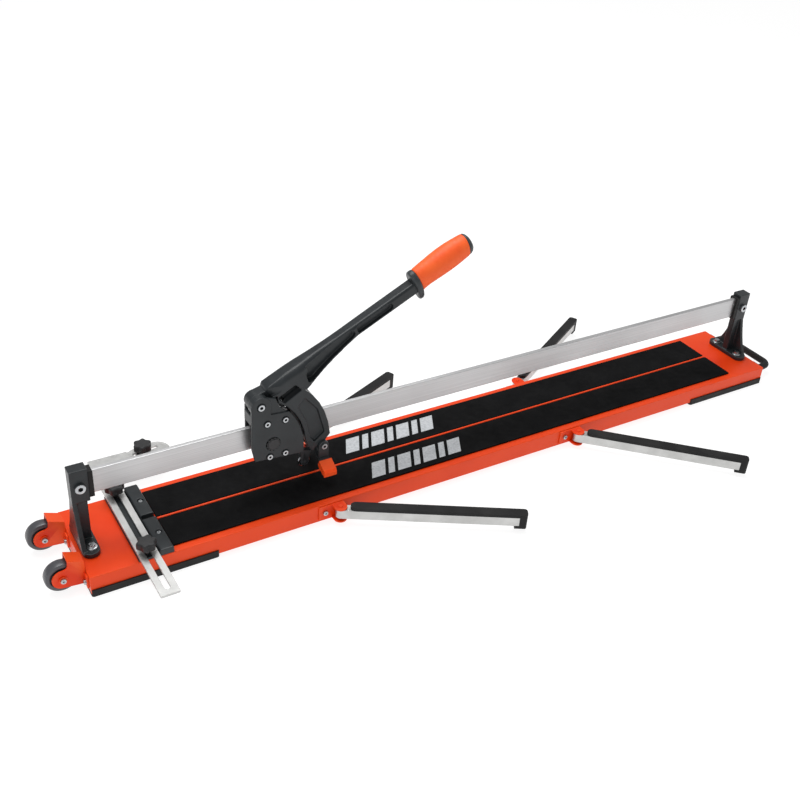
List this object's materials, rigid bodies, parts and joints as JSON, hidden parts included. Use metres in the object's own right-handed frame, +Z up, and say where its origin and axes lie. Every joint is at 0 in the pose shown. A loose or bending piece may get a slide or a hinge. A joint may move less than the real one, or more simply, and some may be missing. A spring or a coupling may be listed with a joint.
{
  "type": "manual tile cutter",
  "caption": "Manual push tile cutter: long folded table with a guide rail, a roller carriage with scoring and breaking lever, swing-out arms, a measuring fence and transport wheels.",
  "frame": {"origin": "centre of the underside of the rubber foot at the wheel end", "axes": "+X along the cut from the transport wheels to the carry handle, +Y across the table to the far side, +Z up; the cutting line lies in Y = 0"},
  "size_m": [1.509, 0.564, 0.4262],
  "materials": {
    "orange_paint": "orange powder coat, semi-gloss",
    "dark_casting": "dark grey coated casting, satin",
    "rail_steel": "brushed along its length",
    "aluminium": "extruded, satin",
    "zinc_plate": "bright zinc plate",
    "carbide": "ground tungsten carbide",
    "black_rubber": "matt, fine grain",
    "wheel_grey": "moulded, satin",
    "black_plastic": "moulded, fine texture",
    "orange_grip": "soft moulded, satin",
    "orange_nylon": "moulded nylon, satin"
  },
  "bodies": {
    "base": {"table_tray": "orange_paint", "breaking_bar": "orange_paint", "mat_near": "black_rubber", "mat_far": "black_rubber", "foot_wheel_end": "black_rubber", "foot_handle_end": "black_rubber", "post_wheel_end": "dark_casting", "post_handle_end": "dark_casting", "rail_bolt_wheel_end": "zinc_plate", "rail_bolt_handle_end": "zinc_plate", "guide_rail": "rail_steel", "bumper_wheel_end": "black_rubber", "bumper_handle_end": "black_rubber", "carry_handle": "black_plastic", "caster_bracket_near": "orange_paint", "caster_bracket_far": "orange_paint", "fence_body": "dark_casting", "arm_bracket_near_left": "orange_paint", "arm_bracket_near_right": "orange_paint", "arm_bracket_far_left": "orange_paint", "arm_bracket_far_right": "orange_paint"},
    "caster_near": {"caster_wheel_near": "wheel_grey"},
    "caster_far": {"caster_wheel_far": "wheel_grey"},
    "measuring_slide": {"measuring_bar": "aluminium", "cross_arm": "aluminium"},
    "angle_swing": {"angle_plate": "aluminium"},
    "tile_stop": {"stop_block": "black_plastic"},
    "stop_screw": {"stop_knob": "black_plastic"},
    "clamp_near": {"clamp_knob_near": "black_plastic"},
    "clamp_far": {"clamp_knob_far": "black_plastic"},
    "arm_near_left": {"arm_bar_near_left": "aluminium", "arm_pad_near_left": "black_rubber"},
    "arm_near_right": {"arm_bar_near_right": "aluminium", "arm_pad_near_right": "black_rubber"},
    "arm_far_left": {"arm_bar_far_left": "aluminium", "arm_pad_far_left": "black_rubber"},
    "arm_far_right": {"arm_bar_far_right": "aluminium", "arm_pad_far_right": "black_rubber"},
    "carriage": {"carriage_plate_near": "dark_casting", "carriage_plate_far": "dark_casting", "rail_saddle": "black_plastic", "adjuster_cap": "black_plastic", "roller_pin_upper_rear": "zinc_plate", "roller_pin_upper_front": "zinc_plate", "roller_pin_lower_rear": "zinc_plate", "roller_pin_lower_front": "zinc_plate", "pivot_bolt": "zinc_plate", "return_spring": "rail_steel"},
    "roller_upper_rear": {"roller_upper_rear": "rail_steel"},
    "roller_upper_front": {"roller_upper_front": "rail_steel"},
    "roller_lower_rear": {"roller_lower_rear": "rail_steel"},
    "roller_lower_front": {"roller_lower_front": "rail_steel"},
    "lever": {"lever_body": "dark_casting", "score_holder": "rail_steel", "foot_bolt": "zinc_plate", "grip": "orange_grip"},
    "scorer": {"scoring_wheel": "carbide"},
    "breaker": {"breaker_foot": "dark_casting", "breaker_pad_near": "orange_nylon", "breaker_pad_far": "orange_nylon"}
  },
  "joints": [
    {"name": "caster_roll_near", "type": "hinge", "parent": "base", "child": "caster_near", "pos_m": [-0.133, -0.05, 0.029], "axis": [0, 1, 0], "continuous": true},
    {"name": "caster_roll_far", "type": "hinge", "parent": "base", "child": "caster_far", "pos_m": [-0.133, 0.05, 0.029], "axis": [0, 1, 0], "continuous": true},
    {"name": "measure_slide", "type": "slide", "parent": "base", "child": "measuring_slide", "axis": [0, 1, 0], "range_m": [-0.045, 0.08]},
    {"name": "angle_turn", "type": "hinge", "parent": "measuring_slide", "child": "angle_swing", "pos_m": [0.026, 0.153, 0.043], "axis": [0, 0, 1], "range_deg": [-20, 70]},
    {"name": "stop_slide", "type": "slide", "parent": "angle_swing", "child": "tile_stop", "axis": [0.9848, 0.1736, 0], "range_m": [-0.012, 0.012]},
    {"name": "stop_knob_turn", "type": "hinge", "parent": "tile_stop", "child": "stop_screw", "pos_m": [0.06794, 0.16852, 0.05], "axis": [0, 0, 1], "range_deg": [-180, 180]},
    {"name": "clamp_turn_near", "type": "hinge", "parent": "base", "child": "clamp_near", "pos_m": [-0.01, -0.075, 0.05], "axis": [0, 0, 1], "range_deg": [-180, 180]},
    {"name": "clamp_turn_far", "type": "hinge", "parent": "base", "child": "clamp_far", "pos_m": [-0.01, 0.075, 0.05], "axis": [0, 0, 1], "range_deg": [-180, 180]},
    {"name": "arm_swing_near_left", "type": "hinge", "parent": "base", "child": "arm_near_left", "pos_m": [0.306, -0.096, 0.02], "axis": [0, 0, 1], "range_deg": [-60, 29]},
    {"name": "arm_swing_near_right", "type": "hinge", "parent": "base", "child": "arm_near_right", "pos_m": [0.801, -0.096, 0.02], "axis": [0, 0, 1], "range_deg": [-47, 42]},
    {"name": "arm_swing_far_left", "type": "hinge", "parent": "base", "child": "arm_far_left", "pos_m": [0.306, 0.096, 0.02], "axis": [0, 0, 1], "range_deg": [-23, 66]},
    {"name": "arm_swing_far_right", "type": "hinge", "parent": "base", "child": "arm_far_right", "pos_m": [0.801, 0.096, 0.02], "axis": [0, 0, 1], "range_deg": [-29, 60]},
    {"name": "carriage_slide", "type": "slide", "parent": "base", "child": "carriage", "axis": [1, 0, 0], "range_m": [-0.23, 0.88]},
    {"name": "roller_spin_upper_rear", "type": "hinge", "parent": "carriage", "child": "roller_upper_rear", "pos_m": [0.21, 0, 0.1783], "axis": [0, 1, 0], "continuous": true},
    {"name": "roller_spin_upper_front", "type": "hinge", "parent": "carriage", "child": "roller_upper_front", "pos_m": [0.241, 0, 0.1783], "axis": [0, 1, 0], "continuous": true},
    {"name": "roller_spin_lower_rear", "type": "hinge", "parent": "carriage", "child": "roller_lower_rear", "pos_m": [0.214, 0, 0.1147], "axis": [0, 1, 0], "continuous": true},
    {"name": "roller_spin_lower_front", "type": "hinge", "parent": "carriage", "child": "roller_lower_front", "pos_m": [0.241, 0, 0.1147], "axis": [0, 1, 0], "continuous": true},
    {"name": "lever_pivot", "type": "hinge", "parent": "carriage", "child": "lever", "pos_m": [0.2, 0, 0.212], "axis": [0, 1, 0], "range_deg": [-7, 9]},
    {"name": "scorer_spin", "type": "hinge", "parent": "lever", "child": "scorer", "pos_m": [0.286, 0, 0.069], "axis": [0, 1, 0], "continuous": true},
    {"name": "breaker_pivot", "type": "hinge", "parent": "lever", "child": "breaker", "pos_m": [0.312, 0, 0.104], "axis": [0, 1, 0], "range_deg": [-20, 14]}
  ],
  "couplings": [
    {"joint": "roller_spin_upper_rear", "follows": "carriage_slide", "rad_per_m": 76.923},
    {"joint": "roller_spin_upper_front", "follows": "carriage_slide", "rad_per_m": 76.923},
    {"joint": "roller_spin_lower_rear", "follows": "carriage_slide", "rad_per_m": -111.11},
    {"joint": "roller_spin_lower_front", "follows": "carriage_slide", "rad_per_m": -111.11}
  ]
}
